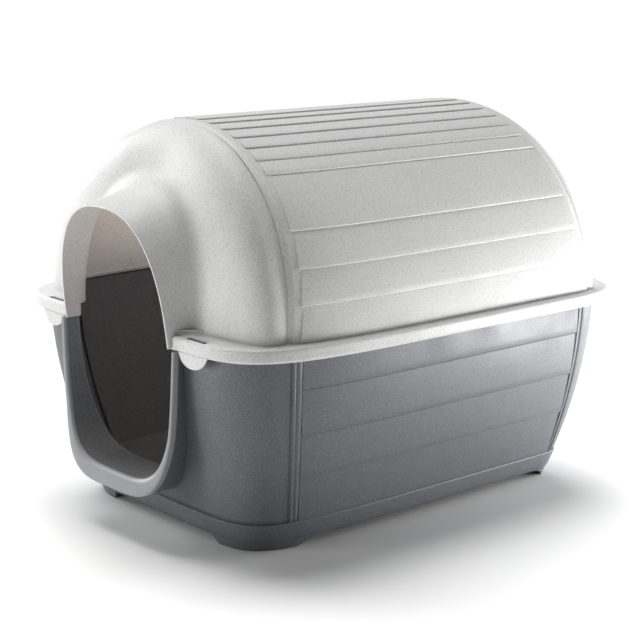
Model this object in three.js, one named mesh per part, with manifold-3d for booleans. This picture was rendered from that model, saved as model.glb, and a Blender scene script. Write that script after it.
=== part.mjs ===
// Small animal hutch moulded in two halves: a tub that stands on the ground and a barrel
// roof that lifts off it. Millimetres, +Z up, doorway facing -Y, ground at Z = 0.
import * as THREE from 'three';
import { LoftGeometry } from 'three/addons/geometries/LoftGeometry.js';
import { mergeVertices } from 'three/addons/utils/BufferGeometryUtils.js';
import Module from 'manifold-3d';

const wasm = await Module();
wasm.setup();

// Moulding
const WALL = 3; // thickness of both mouldings
const GAP = 0.35; // clearance between neighbouring pieces
const PLANK_STEP = 2.5; // how far a plank's lower edge stands out over the next one

// Heights
const FOOT_TOP = 16;
const PLINTH_TOP = 51;
const FLOOR_TOP = 60;
const PLANK_LINES = [133, 208, 286]; // lower edges of the tub's upper planks
const WALL_TOP = 350;
const RIM_LOW = 340; // lower edge of the roof's turned-down lip
const FLANGE_TOP = 361.2;
const FLANGE_LOW = FLANGE_TOP - WALL;
const ROOF_FOOT = 361.5; // where the roof shell starts
const BARREL_RISE = 316; // from there to the ridge

// Plans, all rounded rectangles that share one widest line
const MID = 259;
const RIM = { half: 346, front: -450, back: 450, nFront: 7.25, nBack: 3.9 };
const BARREL = { half: 328, front: -417, back: 450, nFront: 7.25, nBack: 3.9 };
const TUB_HIGH = { half: 323, front: -433, back: 429, nFront: 7.25, nBack: 3.9 };
const TUB_LOW = { half: 248, front: -361, back: 351, nFront: 8, nBack: 6.1 };
const TUB_BELLY = 1.7; // how late the tub wall turns in towards its base
const RIB_FRONT_Y = [-341, -322]; // vertical ribs that carry the hoops' line down the tub
const RIB_REAR_Y = [315, 331];
const FOOT_FRONT_END_Y = -243;
const FOOT_REAR_END_Y = 235;
const FOOT_THICK = 22;

// Hoops: raised bands where the barrel meets the two end walls
const FRONT_HOOP_Y = -347;
const REAR_HOOP_Y = 331;
const FRONT_LEAN = 0.091;
const REAR_LEAN = -0.035;
const FRONT_HOOP_WIDTH = 18;
const REAR_HOOP_WIDTH = 14;
const HOOP_SINK = 2; // the hoops lie this far below the planks' proud edges
const END_STEP = 4; // and the end walls this far
const FRONT_POLE_Y = -409;
const REAR_POLE_Y = 393;

// Doorway: hood on the roof, scoop on the tub
const HOOD = { half: 143, rise: 209, y: -456, lean: 0.13, depth: 140, climb: 37, power: 2.5 };
const SCOOP_TOP = 338;
const SCOOP_Y = -456;
const SCOOP_JUT = { from: 200, height: 120, reach: 15, power: 1.5 }; // the sill stands further forward
const SCOOP_FRONT = { half: 158, bottom: 80.5, power: 4.2, taper: 0.08 };
const SCOOP_BACK = { half: 146, bottom: 111, power: 3.6, taper: 0.04 };
const LIP_DEPTH = 12;
const LIP_SHARE = 0.25; // how far the flare has closed in by the back of the lip

// Latches
const SLOT = { x: 193.5, y: -438.5, width: 48, depth: 8.4 };
const HOOK = { width: 40, depth: 5.4, height: 4 };
const TAB = { half: 31, drop: 23, play: 0.6 };

const TAU = Math.PI * 2;
const deg = THREE.MathUtils.degToRad;
const mix = THREE.MathUtils.lerp;

const graniteLight = new THREE.MeshStandardMaterial({ color: 0xd9d8d4, roughness: 0.55, metalness: 0 });
const graniteGrey = new THREE.MeshStandardMaterial({ color: 0x5f656c, roughness: 0.5, metalness: 0 });

const hutch = new THREE.Group();

// ---------------------------------------------------------------------------
// Solids

function signedVolume(position, index) {
  const a = new THREE.Vector3();
  const b = new THREE.Vector3();
  const c = new THREE.Vector3();
  let sum = 0;
  for (let i = 0; i < index.length; i += 3) {
    a.fromBufferAttribute(position, index[i]);
    b.fromBufferAttribute(position, index[i + 1]);
    c.fromBufferAttribute(position, index[i + 2]);
    sum += a.dot(b.cross(c));
  }
  return sum / 6;
}

// Turns a closed geometry into a manifold solid, dropping slivers and facing it outwards.
function toSolid(geometry) {
  const bare = new THREE.BufferGeometry().copy(geometry);
  bare.deleteAttribute('normal');
  bare.deleteAttribute('uv');
  const merged = mergeVertices(bare, 1e-4);
  const index = [];
  const source = merged.index.array;
  for (let i = 0; i < source.length; i += 3) {
    const [a, b, c] = source.slice(i, i + 3);
    if (a !== b && b !== c && c !== a) {
      index.push(a, b, c);
    }
  }
  if (signedVolume(merged.attributes.position, index) < 0) {
    index.reverse();
  }
  const mesh = new wasm.Mesh({
    numProp: 3,
    vertProperties: new Float32Array(merged.attributes.position.array),
    triVerts: new Uint32Array(index),
  });
  return new wasm.Manifold(mesh);
}

function toGeometry(solid) {
  const mesh = solid.getMesh();
  const geometry = new THREE.BufferGeometry();
  geometry.setAttribute('position', new THREE.BufferAttribute(mesh.vertProperties, 3));
  geometry.setIndex(new THREE.BufferAttribute(mesh.triVerts, 1));
  geometry.computeVertexNormals();
  return geometry;
}

// Triangles across one end section, laced between its first half and its second half.
function endCap(count, firstVertex, facingBack) {
  const triangles = [];
  for (let i = 0, j = count - 1; i + 1 < j; i += 1, j -= 1) {
    const near = [i, i + 1, j];
    const far = i + 1 < j - 1 ? [i + 1, j - 1, j] : [];
    for (const corner of [near, far]) {
      const ordered = facingBack ? corner.reverse() : corner;
      triangles.push(...ordered.map((vertex) => vertex + firstVertex));
    }
  }
  return triangles;
}

// A closed solid skinned through equal sections.
function loft(sections) {
  const count = sections[0].length;
  const skin = new LoftGeometry(sections);
  const lastRow = (sections.length - 1) * (count + 1);
  const caps = [...endCap(count, 0, true), ...endCap(count, lastRow, false)];
  skin.setIndex([...skin.index.array, ...caps]);
  return toSolid(skin);
}

function block(width, depth, height, x, y, z) {
  const box = new THREE.BoxGeometry(width, depth, height);
  box.translate(x, y, z);
  return toSolid(box);
}

function add(name, solid, material) {
  const mesh = new THREE.Mesh(toGeometry(solid), material.clone());
  mesh.name = name;
  hutch.add(mesh);
}

function range(from, to, steps) {
  return Array.from({ length: steps + 1 }, (_, i) => mix(from, to, i / steps));
}

// ---------------------------------------------------------------------------
// Plans

function planPoint(plan, angle) {
  const c = Math.cos(angle);
  const s = Math.sin(angle);
  const power = 2 / (s > 0 ? plan.nBack : plan.nFront);
  const reach = s > 0 ? plan.back - MID : MID - plan.front;
  const x = plan.half * Math.sign(c) * Math.abs(c) ** power;
  const y = MID + reach * Math.sign(s) * Math.abs(s) ** power;
  return new THREE.Vector2(x, y);
}

// A point on the plan, moved outwards by an offset.
function planOffset(plan, angle, offset) {
  const before = planPoint(plan, angle - 0.01);
  const after = planPoint(plan, angle + 0.01);
  const along = after.sub(before).normalize();
  return planPoint(plan, angle).add(new THREE.Vector2(along.y, -along.x).multiplyScalar(offset));
}

// The turn at which a plan on the +X side passes a distance along the hutch.
function turnAt(plan, y) {
  const back = y > MID;
  const n = back ? plan.nBack : plan.nFront;
  const share = back ? (y - MID) / (plan.back - MID) : (MID - y) / (MID - plan.front);
  return Math.sign(y - MID) * Math.asin(share ** (n / 2));
}

// How far forward a plan reaches at a distance from the centre line.
function frontAt(plan, x) {
  return MID - (MID - plan.front) * (1 - (Math.abs(x) / plan.half) ** plan.nFront) ** (1 / plan.nFront);
}

function tubPlan(z) {
  const k = Math.max(0, (RIM_LOW - z) / RIM_LOW) ** TUB_BELLY;
  const plan = {};
  for (const key of Object.keys(TUB_HIGH)) {
    plan[key] = mix(TUB_HIGH[key], TUB_LOW[key], k);
  }
  return plan;
}

// Half width of the roof shell at its foot, at a distance along the hutch.
function barrelHalf(y) {
  const back = y > MID;
  const n = back ? BARREL.nBack : BARREL.nFront;
  const share = back ? (y - MID) / (BARREL.back - MID) : (MID - y) / (MID - BARREL.front);
  return BARREL.half * (1 - share ** n) ** (1 / n);
}

// ---------------------------------------------------------------------------
// Tub: a profile of [offset, height] swept round the plan

function sweepTub(profile, angles) {
  const sections = angles.map((angle) => profile.map(([offset, z]) => {
    const p = planOffset(tubPlan(z), angle, offset);
    return new THREE.Vector3(p.x, p.y, z);
  }));
  return loft(sections);
}

const SKIN = PLANK_STEP + WALL; // from the proudest face to the inside face

function plankProfile() {
  const outer = [[0, PLINTH_TOP + GAP]];
  for (const z of PLANK_LINES) {
    outer.push([-PLANK_STEP, z], [0, z]);
  }
  outer.push([-PLANK_STEP, WALL_TOP]);
  const inner = range(WALL_TOP, PLINTH_TOP + GAP, outer.length - 1).map((z) => [-SKIN, z]);
  return [...outer, ...inner];
}

function smoothProfile(low, high, outside, inside, steps) {
  const outer = range(low, high, steps).map((z) => [outside, z]);
  const inner = range(high, low, steps).map((z) => [inside, z]);
  return [...outer, ...inner];
}

// Stretches of the plan, split where the ribs stand; SEAM is the gap as a turn
const SEAM = deg(0.12);
const ribFront = [turnAt(TUB_HIGH, RIB_FRONT_Y[0]), turnAt(TUB_HIGH, RIB_FRONT_Y[1])];
const ribRear = [turnAt(TUB_HIGH, RIB_REAR_Y[0]), turnAt(TUB_HIGH, RIB_REAR_Y[1])];
const DOOR_TURN = deg(-88);
const stretches = {
  side: range(ribFront[1] + SEAM, ribRear[0] - SEAM, 12),
  front: range(ribFront[0] - SEAM, DOOR_TURN, 12),
  rear: range(ribRear[1] + SEAM, Math.PI - ribRear[1] - SEAM, 24),
  ribFront: range(...ribFront, 2),
  ribRear: range(...ribRear, 2),
};

function mirrored(angles) {
  return angles.map((angle) => Math.PI - angle);
}

const doorCut = scoopSolid(2);
const endWall = smoothProfile(PLINTH_TOP + GAP, WALL_TOP, -1, -SKIN, 7);
const rib = smoothProfile(PLINTH_TOP + GAP, WALL_TOP, 1.5, -SKIN, 6);

for (const [side, turn] of [['right', (a) => a], ['left', mirrored]]) {
  add(`tub_side_wall_${side}`, sweepTub(plankProfile(), turn(stretches.side)), graniteGrey);
  const front = sweepTub(endWall, turn(stretches.front));
  add(`tub_front_wall_${side}`, front.subtract(doorCut), graniteGrey);
  add(`tub_front_rib_${side}`, sweepTub(rib, turn(stretches.ribFront)), graniteGrey);
  add(`tub_rear_rib_${side}`, sweepTub(rib, turn(stretches.ribRear)), graniteGrey);
}
add('tub_rear_wall', sweepTub(endWall, stretches.rear), graniteGrey);

// Front wall below the doorway, between the two front corners
const apron = sweepTub(
  smoothProfile(PLINTH_TOP + GAP, 130, -1, -SKIN, 3),
  range(DOOR_TURN - SEAM, -Math.PI - DOOR_TURN + SEAM, 6),
);
add('tub_front_apron', apron.subtract(doorCut), graniteGrey);

// Plinth band, in four stretches that meet at the middle of each side
const plinth = smoothProfile(FOOT_TOP + GAP, PLINTH_TOP, 1.5, -SKIN, 1);
const crossCut = block(GAP, 2000, 200, 0, 0, 0).add(block(2000, GAP, 200, 0, MID, 0));
const corners = [
  ['front_right', (angle) => -angle],
  ['rear_right', (angle) => angle],
  ['rear_left', (angle) => Math.PI - angle],
  ['front_left', (angle) => Math.PI + angle],
];
for (const [corner, turn] of corners) {
  const band = sweepTub(plinth, range(0, Math.PI / 2, 12).map(turn));
  add(`tub_plinth_${corner}`, band.subtract(crossCut), graniteGrey);
}

// Feet: the plinth's corners carried down to the ground, with ramped ends
const footPlan = tubPlan(0);
const footSpans = {
  front: [-turnAt(footPlan, FOOT_FRONT_END_Y), deg(85.5)],
  rear: [turnAt(footPlan, FOOT_REAR_END_Y), deg(80)],
};
for (const [corner, turn] of corners) {
  const [from, to] = footSpans[corner.split('_')[0]];
  const angles = range(from, to, 12).map(turn);
  const sections = angles.map((angle, i) => {
    const low = i === 0 || i === angles.length - 1 ? FOOT_TOP * 0.7 : 0;
    const profile = [[1, low], [1.5, FOOT_TOP], [-FOOT_THICK, FOOT_TOP], [-FOOT_THICK, low]];
    return profile.map(([offset, z]) => {
      const p = planOffset(tubPlan(z), angle, offset);
      return new THREE.Vector3(p.x, p.y, z);
    });
  });
  add(`tub_foot_${corner}`, loft(sections), graniteGrey);
}

// Floor panel
const floorPlan = tubPlan(FLOOR_TOP - WALL);
const floorShape = new THREE.Shape(range(0, TAU, 72).slice(0, -1).map((angle) => {
  return planOffset(floorPlan, angle, -SKIN - GAP);
}));
const floorPanel = new THREE.ExtrudeGeometry(floorShape, {
  depth: WALL,
  bevelEnabled: false,
  curveSegments: 1,
});
floorPanel.translate(0, 0, FLOOR_TOP - WALL);
add('tub_floor', toSolid(floorPanel), graniteGrey);

// Ledge round the top of the tub that carries the roof
const LEDGE_TOP = FLANGE_LOW - GAP;
const LEDGE_PLAY = 2;
const DOOR_HALF = HOOD.half + 2;

function ledge(angles) {
  const sections = angles.map((angle) => {
    const inner = planOffset(TUB_HIGH, angle, -SKIN);
    const outer = planOffset(RIM, angle, -WALL - LEDGE_PLAY);
    const low = WALL_TOP + GAP;
    return [
      new THREE.Vector3(inner.x, inner.y, low),
      new THREE.Vector3(outer.x, outer.y, low),
      new THREE.Vector3(outer.x, outer.y, LEDGE_TOP),
      new THREE.Vector3(inner.x, inner.y, LEDGE_TOP),
    ];
  });
  return loft(sections);
}

const doorway = block(DOOR_HALF * 2, 300, 300, 0, -450, 300);
const RIM_SPLIT = deg(20); // the rim's stretches meet this far round from the widest line
const rimStretches = {
  front: range(deg(-90), -RIM_SPLIT - SEAM, 14),
  side: range(-RIM_SPLIT + SEAM, RIM_SPLIT - SEAM, 10),
  rear: range(RIM_SPLIT + SEAM, Math.PI - RIM_SPLIT - SEAM, 24),
};
for (const [side, turn] of [['right', (a) => a], ['left', mirrored]]) {
  add(`tub_ledge_front_${side}`, ledge(turn(rimStretches.front)).subtract(doorway), graniteGrey);
  add(`tub_ledge_side_${side}`, ledge(turn(rimStretches.side)), graniteGrey);
}
add('tub_ledge_rear', ledge(rimStretches.rear), graniteGrey);

// ---------------------------------------------------------------------------
// Scoop: the trough-shaped threshold that flares out in front of the tub

function troughPoint(size, turn, offset, y) {
  const c = Math.cos(turn);
  const s = Math.sin(turn);
  const drop = SCOOP_TOP - size.bottom + offset;
  const depth = Math.abs(c) ** (2 / size.power);
  const half = (size.half + offset) * (1 - size.taper * depth);
  const x = half * Math.sign(s) * Math.abs(s) ** (2 / size.power);
  return new THREE.Vector3(x, y, SCOOP_TOP - drop * depth);
}

// How far forward the lip stands at a height.
function lipY(z) {
  const share = Math.max(0, (SCOOP_JUT.from - z) / SCOOP_JUT.height);
  return SCOOP_Y - SCOOP_JUT.reach * share ** SCOOP_JUT.power;
}

// Where the tub's front wall stands at a height, as the scoop meets it.
function frontWallY(z) {
  return tubPlan(z).front;
}

function troughBlend(share) {
  return {
    half: mix(SCOOP_FRONT.half, SCOOP_BACK.half, share),
    bottom: mix(SCOOP_FRONT.bottom, SCOOP_BACK.bottom, share),
    power: mix(SCOOP_FRONT.power, SCOOP_BACK.power, share),
    taper: mix(SCOOP_FRONT.taper, SCOOP_BACK.taper, share),
  };
}

// The trough's wall, from behind the lip to just inside the front wall.
function trough(from, to, steps) {
  const sections = range(from, to, steps).map((turn) => {
    return [[0, 0], [0, 1], [-WALL, 1], [-WALL, 0]].map(([offset, share]) => {
      const edge = troughPoint(troughBlend(mix(LIP_SHARE, 1, share)), turn, offset, 0);
      const lipBack = lipY(edge.z) + LIP_DEPTH + GAP;
      return edge.setY(mix(lipBack, frontWallY(edge.z) + WALL, share));
    });
  });
  return loft(sections);
}

// The whole space taken by the scoop, used to open the front wall.
function scoopSolid(offset) {
  const points = range(-Math.PI / 2, Math.PI / 2, 36).map((turn) => troughPoint(SCOOP_BACK, turn, offset, 0));
  const shape = new THREE.Shape(points.map((p) => new THREE.Vector2(p.x, p.z)));
  shape.lineTo(SCOOP_BACK.half + offset, 420);
  shape.lineTo(-SCOOP_BACK.half - offset, 420);
  const prism = new THREE.ExtrudeGeometry(shape, { depth: 200, bevelEnabled: false });
  prism.rotateX(Math.PI / 2);
  prism.translate(0, -330, 0);
  return toSolid(prism);
}

const LIP_SPLIT = deg(52); // the sill reaches this far round from the bottom
const scoopStretches = [
  ['right', LIP_SPLIT + deg(0.3), deg(90)],
  ['sill', -LIP_SPLIT, LIP_SPLIT],
  ['left', -deg(90), -LIP_SPLIT - deg(0.3)],
];
for (const [name, from, to] of scoopStretches) {
  add(`scoop_wall_${name}`, trough(from, to, name === 'sill' ? 16 : 8), graniteGrey);
}

// Rolled lip round the mouth of the scoop, broadest along the sill
function lipSection(turn) {
  const sill = Math.abs(Math.cos(turn)) ** 2;
  const thick = mix(9, 34, sill);
  return [[0, 0], [0, LIP_DEPTH], [-thick, LIP_DEPTH], [-thick, 0]].map(([offset, depth]) => {
    const edge = troughPoint(SCOOP_FRONT, turn, offset, 0);
    return edge.setY(lipY(edge.z) + depth);
  });
}
for (const [name, from, to] of scoopStretches) {
  const sections = range(from, to, name === 'sill' ? 16 : 8).map(lipSection);
  add(`scoop_lip_${name}`, loft(sections), graniteGrey);
}

// ---------------------------------------------------------------------------
// Roof shell

// Hoop planes lean towards the middle of the roof as they rise.
function hoopY(base, lean, z) {
  return base + lean * (z - ROOF_FOOT);
}

function archPoint(y0, y1, share, turn, offset) {
  const rise = BARREL_RISE + offset;
  const z = ROOF_FOOT + rise * Math.sin(turn);
  const front = hoopY(FRONT_HOOP_Y, FRONT_LEAN, z) + y0;
  const rear = hoopY(REAR_HOOP_Y, REAR_LEAN, z) + y1;
  const y = mix(front, rear, share);
  return new THREE.Vector3((barrelHalf(y) + offset) * Math.cos(turn), y, z);
}

// Turns at which one plank ends and the next begins, from the rim to the ridge
const PLANK_TURNS = [0, 0.181, 0.363, 0.558, 0.892, 0.996, 1.1, 1.204, 1.309, 1.415, 1.519];

// Outer outline of the planks between two of those turns: each is proud at its lower edge.
function plankOutline(first, last) {
  const outline = [];
  for (let i = first; i < last; i += 1) {
    const low = PLANK_TURNS[i];
    const high = PLANK_TURNS[i + 1];
    const steps = Math.max(1, Math.round((high - low) / 0.12));
    for (const turn of range(low, high, steps)) {
      outline.push([turn, -PLANK_STEP * (turn - low) / (high - low)]);
    }
  }
  return outline;
}

function shell(outline, y0, y1, steps) {
  const inner = outline.map(([turn]) => [turn, -SKIN]).reverse();
  const sections = range(0, 1, steps).map((share) => {
    return [...outline, ...inner].map(([turn, offset]) => archPoint(y0, y1, share, turn, offset));
  });
  return loft(sections);
}

const CROWN_SEAM = 0.0012; // the gap between the haunches and the crown, as a turn
const haunch = PLANK_TURNS.indexOf(0.892);
const haunchOutline = plankOutline(0, haunch);
const crownHalf = plankOutline(haunch, PLANK_TURNS.length - 1);
crownHalf[0][0] += CROWN_SEAM;
crownHalf.push([PLANK_TURNS[PLANK_TURNS.length - 1], 0]);
const crownOther = crownHalf.map(([turn, offset]) => [Math.PI - turn, offset]).reverse();
const leftOutline = haunchOutline.map(([turn, offset]) => [Math.PI - turn, offset]).reverse();

const barrelFront = FRONT_HOOP_WIDTH + GAP;
const barrelRear = -REAR_HOOP_WIDTH - GAP;
add('roof_barrel_right', shell(haunchOutline, barrelFront, barrelRear, 12), graniteLight);
add('roof_barrel_crown', shell([...crownHalf, ...crownOther], barrelFront, barrelRear, 8), graniteLight);
add('roof_barrel_left', shell(leftOutline, barrelFront, barrelRear, 12), graniteLight);

// Hoops
function hoop(base, lean, width) {
  const sections = range(0, Math.PI, 36).map((turn) => {
    const ring = [];
    for (const [offset, along] of [[-HOOP_SINK, 0], [-HOOP_SINK, width], [-SKIN, width], [-SKIN, 0]]) {
      const z = ROOF_FOOT + (BARREL_RISE + offset) * Math.sin(turn);
      const y = hoopY(base, lean, z) + along;
      ring.push(new THREE.Vector3((barrelHalf(y) + offset) * Math.cos(turn), y, z));
    }
    return ring;
  });
  return loft(sections);
}
add('roof_front_hoop', hoop(FRONT_HOOP_Y, FRONT_LEAN, FRONT_HOOP_WIDTH), graniteLight);
add('roof_rear_hoop', hoop(REAR_HOOP_Y, REAR_LEAN, -REAR_HOOP_WIDTH), graniteLight);

// End walls: domes whose meridians all run from the hoop to one pole at the foot
function domePoint(end, turn, climb, offset) {
  const power = 2 / mix(end.footPower, end.crownPower, Math.sin(turn) ** 3);
  const shrink = Math.cos(climb) ** power;
  const across = barrelHalf(end.y) - END_STEP + offset;
  const rise = BARREL_RISE - END_STEP + offset;
  const start = hoopY(end.y, end.lean, ROOF_FOOT + rise * Math.sin(turn)) + end.gap;
  const pole = end.pole - Math.sign(end.gap) * -offset;
  const y = mix(start, pole, Math.sin(climb) ** power);
  return new THREE.Vector3(across * Math.cos(turn) * shrink, y, ROOF_FOOT + rise * Math.sin(turn) * shrink);
}

const FRONT_END = {
  y: FRONT_HOOP_Y,
  lean: FRONT_LEAN,
  pole: FRONT_POLE_Y,
  gap: -GAP,
  footPower: 4.1,
  crownPower: 1.8,
};
const REAR_END = {
  y: REAR_HOOP_Y,
  lean: REAR_LEAN,
  pole: REAR_POLE_Y,
  gap: GAP,
  footPower: 3.2,
  crownPower: 2.6,
};

function dome(end, from, to, steps, inside) {
  const sections = range(from, to, steps).map((turn) => {
    const outer = range(0, Math.PI / 2, 10).map((climb) => domePoint(end, turn, climb, 0));
    const inner = range(Math.PI / 2, 0, 10).map((climb) => domePoint(end, turn, climb, inside));
    return [...outer, ...inner];
  });
  return loft(sections);
}

// Hood: an arched tunnel, its mouth leaning forward and its crown climbing to the dome
function hoodSolid(offset, foot, front, back) {
  const sections = range(front, back, 6).map((share) => {
    const half = HOOD.half + offset;
    const rise = HOOD.rise + HOOD.climb * share + offset;
    const ring = range(0, Math.PI, 32).map((turn) => {
      const c = Math.cos(turn);
      const x = half * Math.sign(c) * Math.abs(c) ** (2 / HOOD.power);
      const z = RIM_LOW + rise * Math.sin(turn) ** (2 / HOOD.power);
      return new THREE.Vector3(x, HOOD.y - HOOD.lean * (z - RIM_LOW) + HOOD.depth * share, z);
    });
    const lowY = HOOD.y + HOOD.depth * share;
    ring.unshift(new THREE.Vector3(half, lowY, foot));
    ring.push(new THREE.Vector3(-half, lowY, foot));
    return ring;
  });
  return loft(sections);
}

// Everything inside the front dome's outer face, carried down past the rim and back.
function domeFilled(offset) {
  const climbs = [0, ...range(0, Math.PI / 2 - 0.002, 14)];
  const sections = climbs.map((climb, i) => {
    const ring = range(0, Math.PI, 36).map((turn) => domePoint(FRONT_END, turn, climb, offset));
    const last = ring[ring.length - 1];
    ring.unshift(new THREE.Vector3(ring[0].x, ring[0].y, RIM_LOW - 20));
    ring.push(new THREE.Vector3(last.x, last.y, RIM_LOW - 20));
    return i === 0 ? ring.map((p) => p.clone().setY(p.y + 200)) : ring;
  });
  return loft(sections);
}

const hoodInner = hoodSolid(-WALL, RIM_LOW - 10, -0.05, 1.4);
const domeOpen = dome(FRONT_END, 0, Math.PI, 36, -WALL).subtract(hoodInner);
for (const [side, sign] of [['right', 1], ['left', -1]]) {
  const half = block(1000, 2000, 2000, sign * (500 + GAP / 2), 0, 0);
  add(`roof_front_dome_${side}`, domeOpen.intersect(half), graniteLight);
}

const hoodShell = hoodSolid(0, RIM_LOW, 0, 1).subtract(hoodInner);
add('roof_entrance_hood', hoodShell.subtract(domeFilled(GAP)), graniteLight);

add('roof_rear_wall', dome(REAR_END, 0, Math.PI, 30, -WALL), graniteLight);

// ---------------------------------------------------------------------------
// Rim: a flange round the foot of the roof with a turned-down lip

// Foot of the roof shell that belongs to a point on the rim's plan.
function footPoint(angle, offset) {
  const folded = Math.atan2(Math.sin(angle), Math.abs(Math.cos(angle)));
  const frontTurn = deg(-42);
  const rearTurn = deg(11.5);
  let point;
  if (folded < frontTurn) {
    const climb = (frontTurn - folded) / (frontTurn + Math.PI / 2) * (Math.PI / 2);
    point = domePoint(FRONT_END, 0, Math.min(climb, Math.PI / 2), offset);
  } else if (folded > rearTurn) {
    const climb = (folded - rearTurn) / (Math.PI / 2 - rearTurn) * (Math.PI / 2);
    point = domePoint(REAR_END, 0, Math.min(climb, Math.PI / 2), offset);
  } else {
    const plan = planOffset(BARREL, folded, offset);
    point = new THREE.Vector3(plan.x, plan.y, 0);
  }
  return new THREE.Vector2(Math.cos(angle) < 0 ? -point.x : point.x, point.y);
}

function rim(angles) {
  const sections = angles.map((angle) => {
    const inner = footPoint(angle, -WALL);
    const outer = planOffset(RIM, angle, 0);
    const under = planOffset(RIM, angle, -WALL);
    return [
      new THREE.Vector3(outer.x, outer.y, RIM_LOW),
      new THREE.Vector3(outer.x, outer.y, FLANGE_TOP),
      new THREE.Vector3(inner.x, inner.y, FLANGE_TOP),
      new THREE.Vector3(inner.x, inner.y, FLANGE_LOW),
      new THREE.Vector3(under.x, under.y, FLANGE_LOW),
      new THREE.Vector3(under.x, under.y, RIM_LOW),
    ];
  });
  return loft(sections);
}

const rimDoor = block((HOOD.half + GAP) * 2, 300, 300, 0, -450, 300);
for (const [side, turn, sign] of [['right', (a) => a, 1], ['left', mirrored, -1]]) {
  const slot = block(SLOT.width, SLOT.depth, 20, sign * SLOT.x, SLOT.y, FLANGE_TOP);
  const front = rim(turn(rimStretches.front)).subtract(rimDoor).subtract(slot);
  add(`roof_rim_front_${side}`, front, graniteLight);
  add(`roof_rim_side_${side}`, rim(turn(rimStretches.side)), graniteLight);
}
add('roof_rim_rear', rim(rimStretches.rear), graniteLight);

// ---------------------------------------------------------------------------
// Latches: a thumb tab hangs from the lip, below a hook that stands in its slot

for (const [side, sign] of [['right', 1], ['left', -1]]) {
  const hookMiddle = LEDGE_TOP + GAP + HOOK.height / 2;
  const hook = block(HOOK.width, HOOK.depth, HOOK.height, sign * SLOT.x, SLOT.y, hookMiddle);
  add(`latch_hook_${side}`, hook, graniteGrey);

  const outline = new THREE.Shape();
  outline.moveTo(-TAB.half, 0);
  outline.absellipse(0, 0, TAB.half, TAB.drop - TAB.play, Math.PI, TAU, false, 0);
  outline.closePath();
  const tab = new THREE.ExtrudeGeometry(outline, { depth: WALL, bevelEnabled: false, curveSegments: 18 });
  tab.rotateX(Math.PI / 2);
  tab.translate(sign * SLOT.x, frontAt(RIM, SLOT.x) + WALL, RIM_LOW - TAB.play);
  add(`latch_tab_${side}`, toSolid(tab), graniteLight);
}

// The origin lies on the ground, under the middle of the whole hutch
const bounds = new THREE.Box3().setFromObject(hutch);
hutch.position.y = -Math.round((bounds.min.y + bounds.max.y) * 5) / 10;

export default hutch;
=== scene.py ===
import bpy
import bmesh
import math
from mathutils import Euler, Matrix, Vector


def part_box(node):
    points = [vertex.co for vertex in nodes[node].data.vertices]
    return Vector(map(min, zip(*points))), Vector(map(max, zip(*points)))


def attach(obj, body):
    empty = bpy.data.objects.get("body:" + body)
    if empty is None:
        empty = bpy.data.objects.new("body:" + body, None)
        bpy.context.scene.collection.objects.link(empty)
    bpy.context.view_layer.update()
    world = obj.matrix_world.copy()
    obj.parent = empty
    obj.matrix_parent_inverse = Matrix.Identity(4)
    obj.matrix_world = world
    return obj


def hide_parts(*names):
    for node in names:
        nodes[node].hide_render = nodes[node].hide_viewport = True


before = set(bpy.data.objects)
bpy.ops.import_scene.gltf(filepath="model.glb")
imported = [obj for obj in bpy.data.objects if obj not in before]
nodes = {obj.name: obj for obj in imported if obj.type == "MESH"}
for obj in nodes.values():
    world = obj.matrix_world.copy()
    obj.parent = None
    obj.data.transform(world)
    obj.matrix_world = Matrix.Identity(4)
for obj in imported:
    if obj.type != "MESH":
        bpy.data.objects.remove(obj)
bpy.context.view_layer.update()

# ----------------------------------------------------------------------------------------
# Tub walls. One injection moulding of mid grey granite plastic, 3 mm thick, bowing in
# towards its base. The sides are moulded as four lapped planks, each proud at its lower
# edge, and both end walls are smooth. Ribs at the planks' ends carry the hoops' line down.
MM = 0.001
WALL = 0.003
PLANK_STEP = 2.5
WALL_TOP = 350.0
PLINTH_TOP = 51.0
WIDEST = 259.0
RIM_LOW = 340.0
# the hutch's own middle lies this far behind the middle that the plans are drawn about
CENTRE_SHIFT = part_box("roof_rim_rear")[1].y / MM - 450.0

TUB_HIGH = {"half": 323, "front": -433, "back": 429, "n_front": 7.25, "n_back": 3.9}
TUB_LOW = {"half": 248, "front": -361, "back": 351, "n_front": 8, "n_back": 6.1}
TUB_BELLY = 1.7
PLANK_LINES = [133, 208, 286]


def mix(a, b, share):
    return a + (b - a) * share


def spread(low, high, steps):
    return [mix(low, high, i / steps) for i in range(steps + 1)]


def signed_power(value, power):
    return math.copysign(abs(value) ** power, value)


def plan_point(plan, angle):
    c, s = math.cos(angle), math.sin(angle)
    n = plan["n_back"] if s > 0 else plan["n_front"]
    reach = plan["back"] - WIDEST if s > 0 else WIDEST - plan["front"]
    return Vector((plan["half"] * signed_power(c, 2 / n), WIDEST + reach * signed_power(s, 2 / n)))


def plan_offset(plan, angle, offset):
    """A point on a plan, moved outwards."""
    along = plan_point(plan, angle + 0.01) - plan_point(plan, angle - 0.01)
    along.normalize()
    return plan_point(plan, angle) + Vector((along.y, -along.x)) * offset


def turn_at(plan, y):
    """The turn at which a plan passes a distance along the hutch, on the +X side."""
    back = y > WIDEST
    n = plan["n_back"] if back else plan["n_front"]
    share = (y - WIDEST) / (plan["back"] - WIDEST) if back else (WIDEST - y) / (WIDEST - plan["front"])
    return math.copysign(math.asin(share ** (n / 2)), y - WIDEST)


def front_at(plan, x):
    """How far forward a plan reaches at a distance from the centre line."""
    share = min(abs(x) / plan["half"], 1)
    return WIDEST - (WIDEST - plan["front"]) * (1 - share ** plan["n_front"]) ** (1 / plan["n_front"])


def tub_plan(z):
    k = max(0, (RIM_LOW - z) / RIM_LOW) ** TUB_BELLY
    return {key: mix(TUB_HIGH[key], TUB_LOW[key], k) for key in TUB_HIGH}


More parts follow.
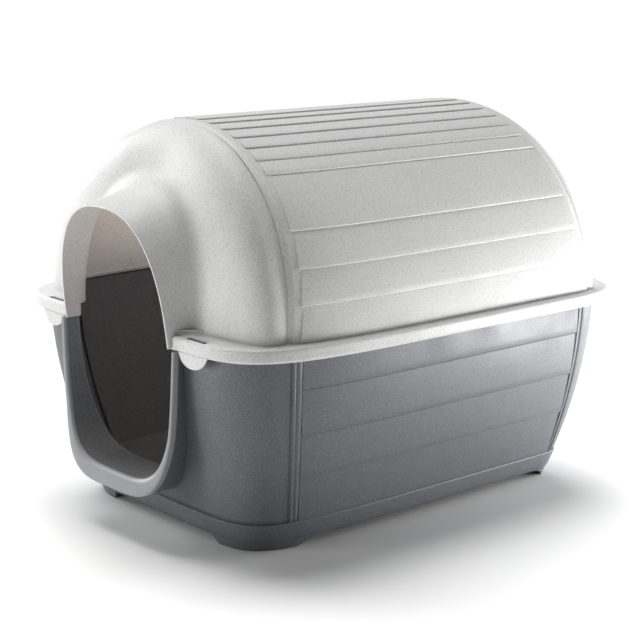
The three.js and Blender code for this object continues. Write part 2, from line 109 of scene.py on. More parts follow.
def place(x, y, z):
    """Millimetres about the plans' middle to metres in the frame."""
    return Vector((x, y + CENTRE_SHIFT, z)) * MM


def bent_sheet(columns, rows, form, closed=False):
    """A grid with one vertex for each column and row, bent to a form."""
    bm = bmesh.new()
    bmesh.ops.create_grid(bm, x_segments=len(columns) - 1, y_segments=len(rows) - 1, size=0.5)
    for v in bm.verts:
        column = columns[round((v.co.x + 0.5) * (len(columns) - 1))]
        row = rows[round((v.co.y + 0.5) * (len(rows) - 1))]
        v.co = form(column, row)
    bmesh.ops.remove_doubles(bm, verts=bm.verts, dist=2e-6)
    if closed:
        bmesh.ops.holes_fill(bm, edges=[e for e in bm.edges if e.is_boundary])
        bmesh.ops.recalc_face_normals(bm, faces=bm.faces)
    return bm


def moulded(name, bm, thickness=WALL, edge=0.0007, edge_angle=35, inside_out=False):
    """A piece of the moulding: the sheet given its wall and its edges eased."""
    if inside_out:
        bmesh.ops.reverse_faces(bm, faces=bm.faces)
    mesh = bpy.data.meshes.new(f"{name}_moulding")
    bm.to_mesh(mesh)
    bm.free()
    mesh.shade_smooth()
    piece = bpy.data.objects.new(f"{name}_moulding", mesh)
    bpy.context.scene.collection.objects.link(piece)
    if thickness:
        skin = piece.modifiers.new("wall", "SOLIDIFY")
        skin.thickness = thickness
        skin.offset = -1
        skin.use_even_offset = True
    if edge:
        ease = piece.modifiers.new("edge", "BEVEL")
        ease.width = edge
        ease.segments = 2
        ease.limit_method = "ANGLE"
        ease.angle_limit = math.radians(edge_angle)
        ease.harden_normals = True
    return piece


def granite_plastic(name, base, dark, light, warm, gloss, fleck=1.0):
    """Moulded plastic filled with fine flecks, with a faint grain on its face."""
    material = bpy.data.materials.new(name)
    material.use_nodes = True
    tree = material.node_tree
    links = tree.links
    shader = tree.nodes["Principled BSDF"]
    shader.inputs["Specular IOR Level"].default_value = 0.42
    place_on = tree.nodes.new("ShaderNodeTexCoord")

    def speck(scale, detail, low, high):
        noise = tree.nodes.new("ShaderNodeTexNoise")
        noise.inputs["Scale"].default_value = scale
        noise.inputs["Detail"].default_value = detail
        noise.inputs["Roughness"].default_value = 0.6
        links.new(place_on.outputs["Object"], noise.inputs["Vector"])
        ramp = tree.nodes.new("ShaderNodeMapRange")
        ramp.inputs["From Min"].default_value = low
        ramp.inputs["From Max"].default_value = high
        links.new(noise.outputs["Fac"], ramp.inputs["Value"])
        return ramp.outputs["Result"]

    def blend(share, under, over, amount):
        strength = tree.nodes.new("ShaderNodeMath")
        strength.operation = "MULTIPLY"
        strength.inputs[1].default_value = amount
        links.new(share, strength.inputs[0])
        layer = tree.nodes.new("ShaderNodeMix")
        layer.data_type = "RGBA"
        links.new(strength.outputs[0], layer.inputs["Factor"])
        if isinstance(under, tuple):
            layer.inputs["A"].default_value = under
        else:
            links.new(under, layer.inputs["A"])
        layer.inputs["B"].default_value = over
        return layer.outputs["Result"]

    cloud = speck(9, 3, 0.35, 0.65)
    shade = tuple(c * 0.93 for c in base[:3]) + (1,)
    colour = blend(cloud, base, shade, 1.0)
    colour = blend(speck(330, 2, 0.5, 0.68), colour, dark, 0.42 * fleck)
    colour = blend(speck(520, 2, 0.55, 0.7), colour, warm, 0.45 * fleck)
    colour = blend(speck(700, 1, 0.56, 0.68), colour, light, 0.5 * fleck)
    grains = tree.nodes.new("ShaderNodeTexVoronoi")
    grains.inputs["Scale"].default_value = 260
    links.new(place_on.outputs["Object"], grains.inputs["Vector"])
    grain = tree.nodes.new("ShaderNodeMapRange")
    grain.inputs["From Min"].default_value = 0.22
    grain.inputs["From Max"].default_value = 0.12
    links.new(grains.outputs["Distance"], grain.inputs["Value"])
    colour = blend(grain.outputs["Result"], colour, dark, 0.55 * fleck)
    links.new(colour, shader.inputs["Base Color"])

    sheen = tree.nodes.new("ShaderNodeMapRange")
    sheen.inputs["To Min"].default_value = gloss - 0.06
    sheen.inputs["To Max"].default_value = gloss + 0.08
    links.new(cloud, sheen.inputs["Value"])
    links.new(sheen.outputs["Result"], shader.inputs["Roughness"])

    grain_noise = tree.nodes.new("ShaderNodeTexNoise")
    grain_noise.inputs["Scale"].default_value = 900
    grain_noise.inputs["Detail"].default_value = 2
    links.new(place_on.outputs["Object"], grain_noise.inputs["Vector"])
    bump = tree.nodes.new("ShaderNodeBump")
    bump.inputs["Strength"].default_value = 0.25
    bump.inputs["Distance"].default_value = 0.0003
    links.new(grain_noise.outputs["Fac"], bump.inputs["Height"])
    links.new(bump.outputs["Normal"], shader.inputs["Normal"])
    return material


tub_plastic = granite_plastic(
    "tub_granite_grey",
    base=(0.115, 0.124, 0.136, 1),
    dark=(0.050, 0.056, 0.066, 1),
    light=(0.30, 0.305, 0.31, 1),
    warm=(0.14, 0.13, 0.12, 1),
    gloss=0.46,
)


def finish_tub(piece, *replaced):
    if not piece.data.materials:
        piece.data.materials.append(tub_plastic)
    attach(piece, "tub")
    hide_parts(*replaced)


def tub_form(angle, row):
    offset, z = row
    p = plan_offset(tub_plan(z), angle, offset)
    return place(p.x, p.y, z)


RIB_FRONT = (turn_at(TUB_HIGH, -341), turn_at(TUB_HIGH, -322))
RIB_REAR = (turn_at(TUB_HIGH, 315), turn_at(TUB_HIGH, 331))
SKIN = 5.5
GROOVE = 0.6
ROUND = 1.1
PLANK_SLANT = {"turn": 0.004, "height": 75, "reach": 0.05}
END_WALL_INSET = -1
plank_rows = []
for low, high in zip([PLINTH_TOP] + PLANK_LINES, PLANK_LINES + [WALL_TOP]):
    steps = round((high - low) / 12)
    plank_rows += [(-ROUND, low), (-0.3 * ROUND, low + 0.3 * ROUND)]
    for z in spread(low + ROUND, high - 1.4, steps):
        plank_rows.append((-PLANK_STEP * (z - low) / (high - low), z))
    plank_rows += [(-PLANK_STEP - GROOVE, high - 0.8), (-PLANK_STEP - GROOVE, high)]
inside_rows = [(-SKIN, z) for z in spread(WALL_TOP, PLINTH_TOP, 24)]
plank_rows += inside_rows + plank_rows[:1]


def plank_end(angle, row, turn):
    """The planks' front ends are cut on the slant, nearest the rib at their lower edges."""
    z = row[1]
    low = max(line for line in [PLINTH_TOP] + PLANK_LINES if line <= max(z - 0.01, PLINTH_TOP))
    fade = max(0, 1 - (angle - RIB_FRONT[1]) / PLANK_SLANT["reach"])
    return turn(angle + PLANK_SLANT["turn"] * (z - low) / PLANK_SLANT["height"] * fade)


for side, turn in (("right", lambda a: a), ("left", lambda a: math.pi - a)):
    def plank_form(angle, row, turn=turn):
        return tub_form(plank_end(angle, row, turn), row)

    plank_angles = spread(RIB_FRONT[1] + 0.001, RIB_REAR[0], 44)
    planks = bent_sheet(plank_angles, plank_rows, plank_form, closed=True)
    wall = moulded(f"tub_side_wall_{side}", planks, thickness=0, edge=0.0003, edge_angle=40)
    finish_tub(wall, f"tub_side_wall_{side}")

    # the rib: a bead and a flat strip that run down to the plinth, with a tongue on under the planks
    rib_section = [
        (-0.1, -3.2), (0, -3), (0.03, -0.6), (0.1, 0.7), (0.18, 1.3), (0.28, 1.3), (0.36, 0.7),
        (0.42, -0.8), (0.47, -0.8), (0.52, -0.1), (0.9, -0.3), (0.96, -1.2), (1, -3), (1.5, -3.2),
    ]
    for end, (first, last) in (("front", RIB_FRONT), ("rear", RIB_REAR[::-1])):
        def rib_form(station, z, first=first, last=last, turn=turn):
            share, offset = station
            return tub_form(turn(mix(first, last, share)), (offset, z))

        rib = bent_sheet(rib_section, spread(PLINTH_TOP, WALL_TOP, 40), rib_form)
        name = f"tub_{end}_rib_{side}"
        turned = (side == "left") != (end == "rear")
        finish_tub(moulded(name, rib, edge=0, inside_out=turned), name)

rear_angles = spread(RIB_REAR[1], math.pi - RIB_REAR[1], 90)
smooth_rows = [(END_WALL_INSET, z) for z in spread(PLINTH_TOP, WALL_TOP, 26)]
rear_wall = moulded("tub_rear_wall", bent_sheet(rear_angles, smooth_rows, tub_form), edge=0)
finish_tub(rear_wall, "tub_rear_wall")

# ----------------------------------------------------------------------------------------
# Front wall of the tub. The same moulding carried across the front, opened by a broad
# round-cornered doorway that the scoop runs out of.
SCOOP_TOP = 338.0
SCOOP_FRONT = {"half": 158, "bottom": 80.5, "power": 4.2, "taper": 0.08}
SCOOP_INNER_FRONT = {"half": 150, "bottom": 110, "power": 4.2, "taper": 0.08}
SCOOP_INNER_BACK = {"half": 143, "bottom": 114, "power": 3.6, "taper": 0.04}
SCOOP_OUTER_BACK = {"half": 147, "bottom": 66, "power": 2.6, "taper": 0.04}


def trough_point(size, turn):
    c, s = math.cos(turn), math.sin(turn)
    depth = abs(c) ** (2 / size["power"])
    x = size["half"] * (1 - size["taper"] * depth) * signed_power(s, 2 / size["power"])
    return x, SCOOP_TOP - (SCOOP_TOP - size["bottom"]) * depth


def cut_out(piece, cutter):
    """Makes the piece's modifiers real, with a cutter taken out of it."""
    cut = piece.modifiers.new("cut", "BOOLEAN")
    cut.object = cutter
    cut.operation = "DIFFERENCE"
    cut.solver = "EXACT"
    bpy.context.view_layer.update()
    shape = piece.evaluated_get(bpy.context.evaluated_depsgraph_get())
    mesh = bpy.data.meshes.new_from_object(shape)
    piece.modifiers.clear()
    piece.data = mesh
    bpy.data.objects.remove(cutter)


CUT_FRONT, CUT_BACK, CUT_TOP = -480, -360, 420


def doorway_form(turn, row):
    y, high = row
    x, z = trough_point(SCOOP_INNER_BACK, turn)
    return place(x, y, CUT_TOP if high else z)


door_rows = [
    (CUT_FRONT, True), (CUT_FRONT, False), (CUT_BACK, False), (CUT_BACK, True), (CUT_FRONT, True),
]
door_bm = bent_sheet(spread(-math.pi / 2, math.pi / 2, 72), door_rows, doorway_form, closed=True)
door_cutter = moulded("doorway_cutter", door_bm, thickness=0, edge=0)
front_angles = spread(-math.pi - RIB_FRONT[0], RIB_FRONT[0], 150)
front_wall = moulded("tub_front_wall", bent_sheet(front_angles, smooth_rows, tub_form), edge=0)
cut_out(front_wall, door_cutter)
finish_tub(front_wall, "tub_front_wall_right", "tub_front_wall_left", "tub_front_apron")

# ----------------------------------------------------------------------------------------
# Scoop: the trough-shaped threshold that flares out in front of the doorway, with a
# rolled lip that is narrow at the sides and broad along the sill. Part of the tub moulding.
SCOOP_Y = -456.0
SCOOP_JUT = {"from": 200, "height": 120, "reach": 15, "power": 1.5}
SCOOP_OVERLAP = 3


def lip_y(z):
    """How far forward the lip stands at a height: the sill is the foremost part."""
    share = max(0, (SCOOP_JUT["from"] - z) / SCOOP_JUT["height"])
    return SCOOP_Y - SCOOP_JUT["reach"] * share ** SCOOP_JUT["power"]


def scoop_form(turn, row):
    inner, depth, back = row
    outer_point = trough_point(SCOOP_FRONT, turn)
    inner_point = trough_point(SCOOP_INNER_FRONT, turn)
    if back:
        size = SCOOP_INNER_BACK if inner > 0.5 else SCOOP_OUTER_BACK
        edge_point = trough_point(size, turn)
        wall_y = front_at(tub_plan(edge_point[1]), edge_point[0]) + SCOOP_OVERLAP
        front_point = inner_point if inner > 0.5 else outer_point
        x = mix(front_point[0], edge_point[0], back)
        z = mix(front_point[1], edge_point[1], back)
        return place(x, mix(lip_y(front_point[1]) + depth, wall_y, back), z)
    x = mix(outer_point[0], inner_point[0], inner)
    z = mix(outer_point[1], inner_point[1], inner)
    return place(x, lip_y(z) + depth, z)


# (share from outer edge to inner edge, set back from the lip's face, share towards the wall)
trough_rows = [
    (0, 9, 1), (0, 9, 0.6), (0, 9, 0.2), (0, 9, 0), (1, 6, 0),
    (1, 6, 0.12), (1, 6, 0.35), (1, 6, 0.7), (1, 6, 1), (0, 9, 1),
]
trough_turns = spread(-math.pi / 2, math.pi / 2, 96)
trough_bm = bent_sheet(trough_turns, trough_rows, scoop_form, closed=True)
trough = moulded("tub_scoop", trough_bm, thickness=0, edge=0.0006, edge_angle=50)
finish_tub(trough, "scoop_wall_right", "scoop_wall_sill", "scoop_wall_left")

lip_rows = [
    (0, 9.5, 0), (0, 2.2, 0), (0.02, 0.7, 0), (0.06, 0, 0), (0.3, -0.6, 0),
    (0.6, -0.5, 0), (0.78, 0.2, 0), (0.9, 1.6, 0), (0.97, 3.6, 0), (1, 6.2, 0), (0, 9.5, 0),
]
lip_bm = bent_sheet(trough_turns, lip_rows, scoop_form, closed=True)
lip = moulded("tub_scoop_lip", lip_bm, thickness=0, edge=0.0003, edge_angle=60)
# painted light: the lip is the same grey plastic as the tub, coloured lighter here to stand in for the
# strong light that its rolled face catches
lip_plastic_painted_lit = granite_plastic(
    "tub_granite_lip_painted_lit",
    base=(0.265, 0.272, 0.282, 1),
    dark=(0.16, 0.165, 0.175, 1),
    light=(0.40, 0.40, 0.405, 1),
    warm=(0.26, 0.245, 0.235, 1),
    gloss=0.36,
    fleck=0.5,
)
lip.data.materials.append(lip_plastic_painted_lit)
finish_tub(lip, "scoop_lip_right", "scoop_lip_sill", "scoop_lip_left")

# ----------------------------------------------------------------------------------------
# Plinth: the band round the foot of the tub, a little proud of the walls, with a small
# step along its lower edge.
plinth_rows = [
    (-4, 16), (-0.4, 16), (0, 16.4), (0, 20.4), (1.2, 21.2), (1.5, 22), (1.5, 48.5),
    (1.1, 50.4), (0, 51.4), (-2, 51.8), (-5.5, 51.8),
]
full_turn = spread(-math.pi, math.pi, 240)
plinth = moulded("tub_plinth", bent_sheet(full_turn, plinth_rows, tub_form), thickness=0.0025, edge=0)
plinth_corners = ("front_right", "rear_right", "rear_left", "front_left")
finish_tub(plinth, *(f"tub_plinth_{corner}" for corner in plinth_corners))

# ----------------------------------------------------------------------------------------
# Feet: the plinth's four corners carried down to the ground, each ending in an easy ramp,
# so that the hutch stands on its corners and air passes under the middle.
FOOT_TOP = 16.4
FOOT_PLAN = tub_plan(0)
foot_spans = {
    "front": (-turn_at(FOOT_PLAN, -226), math.radians(85.7), 0.17, 0.05),
    "rear": (turn_at(FOOT_PLAN, 213), math.radians(80), 0.3, 0.16),
}
corner_turns = {
    "front_right": lambda a: -a,
    "rear_right": lambda a: a,
    "rear_left": lambda a: math.pi - a,
    "front_left": lambda a: math.pi + a,
}
for corner, turn in corner_turns.items():
    start, stop, ramp_side, ramp_end = foot_spans[corner.split("_")[0]]

    def foot_form(share, row, start=start, stop=stop, ramps=(ramp_side, ramp_end), turn=turn):
        up = min(1, min(share / ramps[0], (1 - share) / ramps[1]))
        low = FOOT_TOP * (1 - up * up * (3 - 2 * up))
        z = mix(low, FOOT_TOP, row)
        return tub_form(turn(mix(start, stop, share)), (-0.2, z))

    foot = bent_sheet(spread(0, 1, 60), spread(0, 1, 3), foot_form)
    name = f"tub_foot_{corner}"
    turned = corner in ("front_right", "rear_left")
    finish_tub(moulded(name, foot, thickness=0.022, edge=0.0008, inside_out=turned), name)

# ----------------------------------------------------------------------------------------
# Floor panel, the ledge that carries the roof, and the two latch hooks: plain flat parts
# of the same grey plastic.
for name, node in nodes.items():
    if name.startswith(("tub_floor", "tub_ledge", "latch_hook")):
        for material_slot in node.material_slots:
            material_slot.material = tub_plastic

# ----------------------------------------------------------------------------------------
# Roof barrel: the other injection moulding, in pale granite plastic. Its arch is moulded
# as lapped planks that run fore and aft, narrow over the ridge and wide on the haunches.
ROOF_FOOT = 361.5
RISE = 316.0
BARREL = {"half": 328, "front": -417, "back": 450, "n_front": 7.25, "n_back": 3.9}
FRONT_HOOP = {"y": -347, "lean": 0.091, "width": 18}
REAR_HOOP = {"y": 331, "lean": -0.035, "width": -14}
PLANK_TURNS = [0, 0.181, 0.363, 0.558, 0.892, 0.996, 1.1, 1.204, 1.309, 1.415, 1.519]

roof_plastic = granite_plastic(
    "roof_granite_pale",
    base=(0.68, 0.68, 0.675, 1),
    dark=(0.27, 0.28, 0.31, 1),
    light=(0.80, 0.79, 0.77, 1),
    warm=(0.50, 0.44, 0.39, 1),
    gloss=0.5,
    fleck=0.85,
)


def finish_roof(piece, *replaced, body="roof"):
    piece.data.materials.append(roof_plastic)
    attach(piece, body)
    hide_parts(*replaced)


def barrel_half(y):
    back = y > WIDEST
    n = BARREL["n_back"] if back else BARREL["n_front"]
    reach = BARREL["back"] - WIDEST if back else WIDEST - BARREL["front"]
    return BARREL["half"] * (1 - (abs(y - WIDEST) / reach) ** n) ** (1 / n)


def hoop_y(hoop, z):
    """Hoop planes lean towards the middle of the roof as they rise."""
    return hoop["y"] + hoop["lean"] * (z - ROOF_FOOT)


def arch_point(turn, offset, y_at):
    z = ROOF_FOOT + (RISE + offset) * math.sin(turn)
    y = y_at(z)
    return place((barrel_half(y) + offset) * math.cos(turn), y, z)


# each station: the turn round the arch, how far in, and the share of the cut-back at its end
TURN_ROUND = ROUND / RISE
PLANK_GAP = 1
FRONT_SLANT = 4.5
REAR_SLANT = 2
plank_stations = []
for low, high in zip(PLANK_TURNS, PLANK_TURNS[1:]):
    steps = max(3, round((high - low) / 0.03))
    plank_stations += [(low, -ROUND, 0), (low + 0.3 * TURN_ROUND, -0.3 * ROUND, 0)]
    for turn in spread(low + TURN_ROUND, high - 0.0045, steps):
        lap = (turn - low) / (high - low)
        plank_stations.append((turn, -PLANK_STEP * lap, lap))
    plank_stations += [(high - 0.0025, -PLANK_STEP - GROOVE, 1), (high, -PLANK_STEP - GROOVE, 1)]
plank_stations += [(PLANK_TURNS[-1], -ROUND, 0), (PLANK_TURNS[-1] + TURN_ROUND, -0.1, 0)]
plank_stations += [(math.pi - turn, offset, lap) for turn, offset, lap in reversed(plank_stations)]
plank_stations += [(math.pi - turn, -SKIN, 0) for turn in spread(0, math.pi, 60)] + plank_stations[:1]


def barrel_form(station, share):
    """The planks' ends are cut on the slant, nearest the hoops at their lower edges."""
    turn, offset, lap = station
    front = FRONT_HOOP["width"] + PLANK_GAP + FRONT_SLANT * lap
    rear = REAR_HOOP["width"] - PLANK_GAP - REAR_SLANT * lap
    return arch_point(
        turn, offset, lambda z: mix(hoop_y(FRONT_HOOP, z) + front, hoop_y(REAR_HOOP, z) + rear, share),
    )


barrel_shares = [0, 0.004, 0.012] + spread(0.03, 0.97, 40) + [0.988, 0.996, 1]
barrel_bm = bent_sheet(plank_stations, barrel_shares, barrel_form, closed=True)
barrel = moulded("roof_barrel", barrel_bm, thickness=0, edge=0.0003, edge_angle=40)
finish_roof(barrel, "roof_barrel_right", "roof_barrel_crown", "roof_barrel_left")

# ----------------------------------------------------------------------------------------
# Hoops: the bands that frame the planks at both ends, in the same pale plastic. The front one
# has a broad sloping face towards the doorway, and each has a tongue under the planks' ends.
front_hoop_section = [
    (0.4, -6), (0.2, -4.6), (0.8, -4.2), (6.6, -2.2), (8.2, -1.8), (10, -1.8), (26, -2.4), (26, -5.4),
    (0.4, -6),
]
rear_hoop_section = [
    (-0.2, -6), (0, -4.4), (0, -2.6), (-0.6, -2), (-1.4, -1.8), (-12.8, -1.8), (-22, -2.4),
    (-22, -5.4), (-0.2, -6),
]
for name, hoop, section in (
    ("roof_front_hoop", FRONT_HOOP, front_hoop_section),
    ("roof_rear_hoop", REAR_HOOP, rear_hoop_section),
):
    def hoop_form(turn, station, hoop=hoop):
        along, offset = station
        return arch_point(turn, offset, lambda z: hoop_y(hoop, z) + along)

    hoop_bm = bent_sheet(spread(0, math.pi, 120), section, hoop_form, closed=True)
    finish_roof(moulded(name, hoop_bm, thickness=0, edge=0.0003, edge_angle=50), name)

# ----------------------------------------------------------------------------------------
# End walls of the roof. The rear one is a shallow smooth dome. The front one is a deeper
# dome that runs into the arched hood over the doorway through a soft fillet.
END_STEP = 4
FRONT_END = {"hoop": FRONT_HOOP, "pole": -409, "start": 2.5, "foot_power": 4.1, "crown_power": 1.8}
REAR_END = {"hoop": REAR_HOOP, "pole": 393, "start": -2.5, "foot_power": 3.2, "crown_power": 2.6}
HOOD = {"half": 143, "rise": 209, "y": -456, "lean": 0.13, "depth": 140, "climb": 37, "power": 2.5}


def dome_point(end, turn, climb):
    power = 2 / mix(end["foot_power"], end["crown_power"], math.sin(turn) ** 3)
    shrink = math.cos(climb) ** power
    across = barrel_half(end["hoop"]["y"]) - END_STEP
    rise = RISE - END_STEP
    start = hoop_y(end["hoop"], ROOF_FOOT + rise * math.sin(turn)) + end["start"]
    y = mix(start, end["pole"], math.sin(climb) ** power)
    return Vector((across * math.cos(turn) * shrink, y, ROOF_FOOT + rise * math.sin(turn) * shrink))


def rear_form(turn, climb):
    return place(*dome_point(REAR_END, turn, climb))


quarter = [math.pi / 2 * share for share in spread(0, 1, 36)]
rear_bm = bent_sheet(spread(0, math.pi, 96), quarter, rear_form)
finish_roof(moulded("roof_rear_wall", rear_bm, edge=0, inside_out=True), "roof_rear_wall")


def hood_share(p):
    """How far from the mouth to the back of the hood a point lies."""
    return (p.y - HOOD["y"] + HOOD["lean"] * (p.z - RIM_LOW)) / HOOD["depth"]


def outside_hood(p):
    rise = HOOD["rise"] + HOOD["climb"] * hood_share(p)
    n = HOOD["power"]
    return (abs(p.x) / HOOD["half"]) ** n + (max(p.z - RIM_LOW, 0) / rise) ** n > 1


def hood_point(section_turn, share):
    c, s = math.cos(section_turn), math.sin(section_turn)
    rise = HOOD["rise"] + HOOD["climb"] * share
    z = RIM_LOW + rise * abs(s) ** (2 / HOOD["power"])
    y = HOOD["y"] - HOOD["lean"] * (z - RIM_LOW) + HOOD["depth"] * share
    return Vector((HOOD["half"] * signed_power(c, 2 / HOOD["power"]), y, z))


def evenly(points, length_share):
    """A point on a chain of points, at a share of its length."""
    lengths = [(b - a).length for a, b in zip(points, points[1:])]
    left = sum(lengths) * length_share
    for a, b, length in zip(points, points[1:], lengths):
        if left <= length:
            return a.lerp(b, left / length)
        left -= length
    return points[-1]


DOME_ROWS, FILLET_ROWS, HOOD_ROWS = 26, 12, 8
FILLET = 32.0


def front_profile(turn):
    """One line from the hoop, down the dome, round the fillet and along the hood to its mouth."""
    low, high = 0.0, math.pi / 2
    for _ in range(40):
        middle = (low + high) / 2
        if outside_hood(dome_point(FRONT_END, turn, middle)):
            low = middle
        else:
            high = middle
    meeting = dome_point(FRONT_END, turn, low)
    dome_line = [dome_point(FRONT_END, turn, low * share) for share in spread(0, 1, 80)]
    across = min(abs(meeting.x) / HOOD["half"], 1) ** (HOOD["power"] / 2)
    section_turn = math.acos(math.copysign(across, meeting.x))
    hood_line = [hood_point(section_turn, hood_share(meeting) * share) for share in spread(1, 0, 40)]
    dome_length = sum((b - a).length for a, b in zip(dome_line, dome_line[1:]))
    hood_length = sum((b - a).length for a, b in zip(hood_line, hood_line[1:]))
    reach = min(FILLET, dome_length * 0.7, hood_length * 0.6)
    turn_in = 1 - reach / dome_length
    turn_out = reach / hood_length
    line = [evenly(dome_line, turn_in * share) for share in spread(0, 1, DOME_ROWS)]
    first, last = line[-1], evenly(hood_line, turn_out)
    for share in spread(0, 1, FILLET_ROWS)[1:]:
        line.append(first.lerp(meeting, share).lerp(meeting.lerp(last, share), share))
    line += [evenly(hood_line, mix(turn_out, 1, share)) for share in spread(0, 1, HOOD_ROWS)[1:]]
    return line


front_lines = {turn: front_profile(turn) for turn in spread(0, math.pi, 144)}
front_rows = range(DOME_ROWS + FILLET_ROWS + HOOD_ROWS + 1)
front_bm = bent_sheet(list(front_lines), list(front_rows), lambda turn, row: place(*front_lines[turn][row]))
dome = moulded("roof_front_dome_and_hood", front_bm, edge=0.0009, edge_angle=60)
finish_roof(dome, "roof_front_dome_right", "roof_front_dome_left", "roof_entrance_hood")

# the hood's feet: its side walls carried down past the rim to the doorway's corners
CHEEK_BACK = -428
for side, sign in (("right", 1), ("left", -1)):
    def cheek_form(y_share, z, sign=sign):
        mouth = HOOD["y"] - HOOD["lean"] * (z - RIM_LOW)
        return place(sign * (HOOD["half"] - 0.1), mix(mouth, CHEEK_BACK, y_share), z)

    cheek = bent_sheet(spread(0, 1, 4), spread(RIM_LOW + 0.2, ROOF_FOOT + 0.4, 2), cheek_form)
    piece = moulded(f"roof_hood_foot_{side}", cheek, edge=0.0009, inside_out=side == "left")
    finish_roof(piece, "roof_entrance_hood")

# ----------------------------------------------------------------------------------------
# Rim: the flange round the foot of the roof, in pale plastic, with a turned-down lip that
# hangs over the tub. Two slots at the front let the tub's latch hooks through.
RIM = {"half": 346, "front": -450, "back": 450, "n_front": 7.25, "n_back": 3.9}
FLANGE_TOP = 361.2


def inside_foot(x, y):
    """Whether a point of the plan lies under the roof shell."""
    if abs(x) < HOOD["half"] + FILLET and y < FRONT_END["pole"] + 2:
        return y > FRONT_END["pole"] - FILLET * max(0, (HOOD["half"] + FILLET - abs(x)) / FILLET) ** 2
    if y < FRONT_HOOP["y"]:
        end, depth = FRONT_END, FRONT_HOOP["y"] - FRONT_END["pole"]
    elif y > REAR_HOOP["y"]:
        end, depth = REAR_END, REAR_END["pole"] - REAR_HOOP["y"]
    else:
        return abs(x) < barrel_half(y) - 1
    across = barrel_half(end["hoop"]["y"]) - END_STEP
    n = end["foot_power"]
    return (abs(x) / across) ** n + (abs(y - end["hoop"]["y"]) / depth) ** n < 1


def foot_under(outer):
    """The point of the roof shell's foot that lies inwards of a point on the rim."""
    inner = Vector((max(-200, min(200, outer.x)), max(-300, min(250, outer.y))))
    far = outer.copy()
    for _ in range(30):
        middle = (inner + far) / 2
        if inside_foot(middle.x, middle.y):
            inner = middle
        else:
            far = middle
    return inner


def rim_form(angle, row):
    """A row sits a distance out from the shell's foot, or a distance in from the rim's edge."""
    kind, distance, z = row
    outer = plan_offset(RIM, angle, 0)
    if kind == "edge":
        p = plan_offset(RIM, angle, -distance)
        return place(p.x, p.y, z)
    foot = foot_under(outer)
    out = (outer - foot).normalized()
    p = foot + out * distance
    return place(p.x, p.y, z)


rim_rows = [
    ("foot", -3, 368.5), ("foot", -2.6, 365.6), ("foot", -1.4, 363.2), ("foot", 0.6, 361.8),
    ("foot", 3.4, FLANGE_TOP),
]
CORNER = 5.0
EASE = 0.05
for a in spread(0, math.pi / 2, 6):
    outward = EASE + CORNER * (1 - math.sin(a))
    rim_rows.append(("edge", outward, FLANGE_TOP - CORNER * (1 - math.cos(a))))
rim_rows += [("edge", EASE, z) for z in (350, 345, RIM_LOW)]
END_SINK = 1.5
door_turn = math.acos(((HOOD["half"] - END_SINK) / RIM["half"]) ** (RIM["n_front"] / 2))
rim_angles = spread(-door_turn, math.pi + door_turn, 260)
rim = moulded("roof_rim", bent_sheet(rim_angles, rim_rows, rim_form), edge=0, inside_out=True)
SLOT = {"x": 193.5, "y": -438.5, "z": 358, "width": 48, "depth": 8.4, "height": 30}
for sign in (1, -1):
    slot_bm = bmesh.new()
    bmesh.ops.create_cube(slot_bm, size=1)
    slot_size = Vector((SLOT["width"], SLOT["depth"], SLOT["height"])) * MM
    bmesh.ops.scale(slot_bm, vec=slot_size, verts=slot_bm.verts)
    bmesh.ops.translate(slot_bm, vec=place(sign * SLOT["x"], SLOT["y"], SLOT["z"]), verts=slot_bm.verts)
    uprights = [e for e in slot_bm.edges if abs(e.verts[0].co.z - e.verts[1].co.z) > 0.01]
    bmesh.ops.bevel(
        slot_bm, geom=uprights, offset=0.0038, segments=6, affect="EDGES", profile=0.5, material=-1,
    )
    cut_out(rim, moulded("slot_cutter", slot_bm, thickness=0, edge=0))
finish_roof(
    rim,
    "roof_rim_front_right",
    "roof_rim_front_left",
    "roof_rim_side_right",
    "roof_rim_side_left",
    "roof_rim_rear",
)

# ----------------------------------------------------------------------------------------
# Latch tabs: a rounded tongue for the thumb under each slot, hanging flush from the lip
# and springing out from it.
TAB = {"half": 31.0, "drop": 22.2, "fillet": 4.0, "play": 0.6}
tab_stations = []
for a in spread(-80, 80, 40):
    turn = math.radians(a)
    tab_stations.append((TAB["half"] * math.sin(turn), TAB["drop"] * math.cos(turn)))
for a in spread(0, 90, 6):
    turn = math.radians(a)
    across = TAB["half"] + TAB["fillet"] * (1 - math.cos(turn))
    tab_stations.append((across, TAB["fillet"] * (1 - math.sin(turn))))
    tab_stations.insert(0, (-across, TAB["fillet"] * (1 - math.sin(turn))))
for side, sign in (("right", 1), ("left", -1)):
    def tab_form(station, share, sign=sign):
        across, drop = station
        x = sign * SLOT["x"] + across
        return place(x, front_at(RIM, x) + EASE, RIM_LOW - TAB["play"] - drop * share)

    tab_bm = bent_sheet(tab_stations, spread(0, 1, 8), tab_form)
    tab = moulded(f"latch_tab_{side}", tab_bm, edge=0.0004, edge_angle=60, inside_out=True)
    finish_roof(tab, f"latch_tab_{side}", body=f"latch_{side}")

# ----------------------------------------------------------------------------------------
# Stage: a plain pale floor, soft studio light and the camera.
floor_bm = bmesh.new()
bmesh.ops.create_grid(floor_bm, x_segments=1, y_segments=1, size=60)
stage_floor = moulded("stage_floor", floor_bm, thickness=0, edge=0)
paper = bpy.data.materials.new("stage_paper")
paper.use_nodes = True
paper.node_tree.nodes["Principled BSDF"].inputs["Base Color"].default_value = (0.86, 0.86, 0.86, 1)
paper.node_tree.nodes["Principled BSDF"].inputs["Roughness"].default_value = 0.9
stage_floor.data.materials.append(paper)

world = bpy.data.worlds.new("studio")
world.use_nodes = True
world.node_tree.nodes["Background"].inputs["Color"].default_value = (1, 1, 1, 1)
world.node_tree.nodes["Background"].inputs["Strength"].default_value = 0.06
bpy.context.scene.world = world


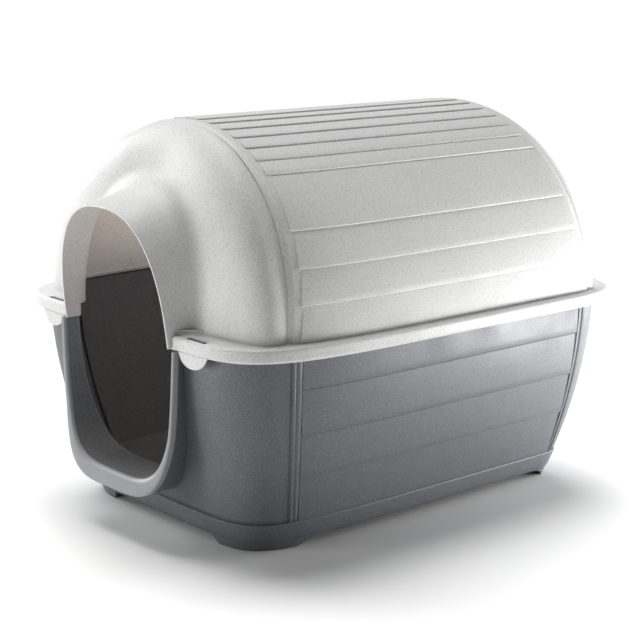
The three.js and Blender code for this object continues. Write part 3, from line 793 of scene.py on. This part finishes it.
def soft_light(name, position, target, size, power, tint=(1, 1, 1)):
    light = bpy.data.lights.new(name, "AREA")
    light.color = tint
    light.shape = "DISK"
    light.size = size
    light.energy = power
    lamp = bpy.data.objects.new(name, light)
    bpy.context.scene.collection.objects.link(lamp)
    lamp.location = position
    lamp.visible_camera = False
    lamp.rotation_euler = (Vector(target) - Vector(position)).to_track_quat("-Z", "Y").to_euler()


def broad_light(name, direction, spread_angle, strength):
    light = bpy.data.lights.new(name, "SUN")
    light.angle = math.radians(spread_angle)
    light.energy = strength
    lamp = bpy.data.objects.new(name, light)
    bpy.context.scene.collection.objects.link(lamp)
    lamp.rotation_euler = Vector(direction).to_track_quat("Z", "Y").to_euler()


broad_light("key_left", (-0.95, -0.2, 0.28), 30, 2.0)
broad_light("overhead", (-0.33, 0.12, 1), 40, 3.2)
soft_light("low_back_right", (0.95, 0.95, 0.12), (0.3, 0.35, 0.3), 0.3, 12)
soft_light("behind_right", (0.7, 1.7, 0.35), (0.3, 0.3, 0.25), 0.6, 20)
soft_light("front_low", (-0.25, -1.3, 0.3), (0.2, -0.4, 0.4), 0.4, 4)
soft_light("through_the_roof", (0, 0, 0.37), (0, 0, 1), 0.4, 1.6, (1, 0.87, 0.77))

CAMERA = {"x": 2.17344, "y": -1.95431, "z": 0.96845, "lens": 93.95}
CAMERA_DOWN, CAMERA_TURN, CAMERA_ROLL = 12.95, 48.235, 0.765
camera_data = bpy.data.cameras.new("camera")
camera_data.sensor_width = 36
camera_data.lens = CAMERA["lens"]
camera = bpy.data.objects.new("camera", camera_data)
bpy.context.scene.collection.objects.link(camera)
turned_to = Euler((math.radians(90 - CAMERA_DOWN), 0, math.radians(CAMERA_TURN))).to_matrix().to_4x4()
camera.matrix_world = (
    Matrix.Translation((CAMERA["x"], CAMERA["y"] + CENTRE_SHIFT * MM, CAMERA["z"]))
    @ turned_to
    @ Matrix.Rotation(math.radians(CAMERA_ROLL), 4, "Z")
)
bpy.context.scene.camera = camera
bpy.context.scene.view_settings.view_transform = "Standard"
